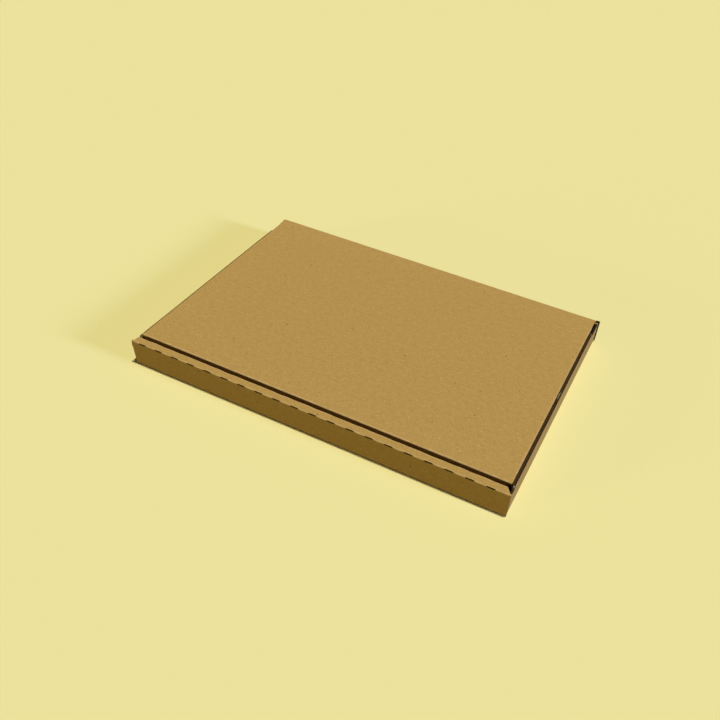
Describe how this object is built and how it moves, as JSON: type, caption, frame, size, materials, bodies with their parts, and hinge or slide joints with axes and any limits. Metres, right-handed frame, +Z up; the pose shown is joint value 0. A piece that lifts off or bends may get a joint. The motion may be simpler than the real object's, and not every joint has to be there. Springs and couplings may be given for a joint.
{
  "type": "large letter postal box",
  "caption": "Flat folded postal box of thin brown corrugated board, with a rolled-over perforated front wall and a hinged tuck-in lid.",
  "frame": {"origin": "middle of the underside of the base", "axes": "+X along the long front wall, to the right as seen from the front; +Y from the front wall to the hinge; +Z up"},
  "size_m": [0.3428, 0.2474, 0.023],
  "materials": {
    "tray_board": "matte brown kraft corrugated board",
    "lid_board": "matte brown kraft corrugated board"
  },
  "bodies": {
    "tray": {"tray": "tray_board"},
    "lid": {"lid": "lid_board"}
  },
  "joints": [
    {"name": "lid_hinge", "type": "hinge", "parent": "tray", "child": "lid", "pos_m": [0, 0.12317, 0.02247], "axis": [-1, 0, 0], "range_deg": [0, 180]}
  ]
}
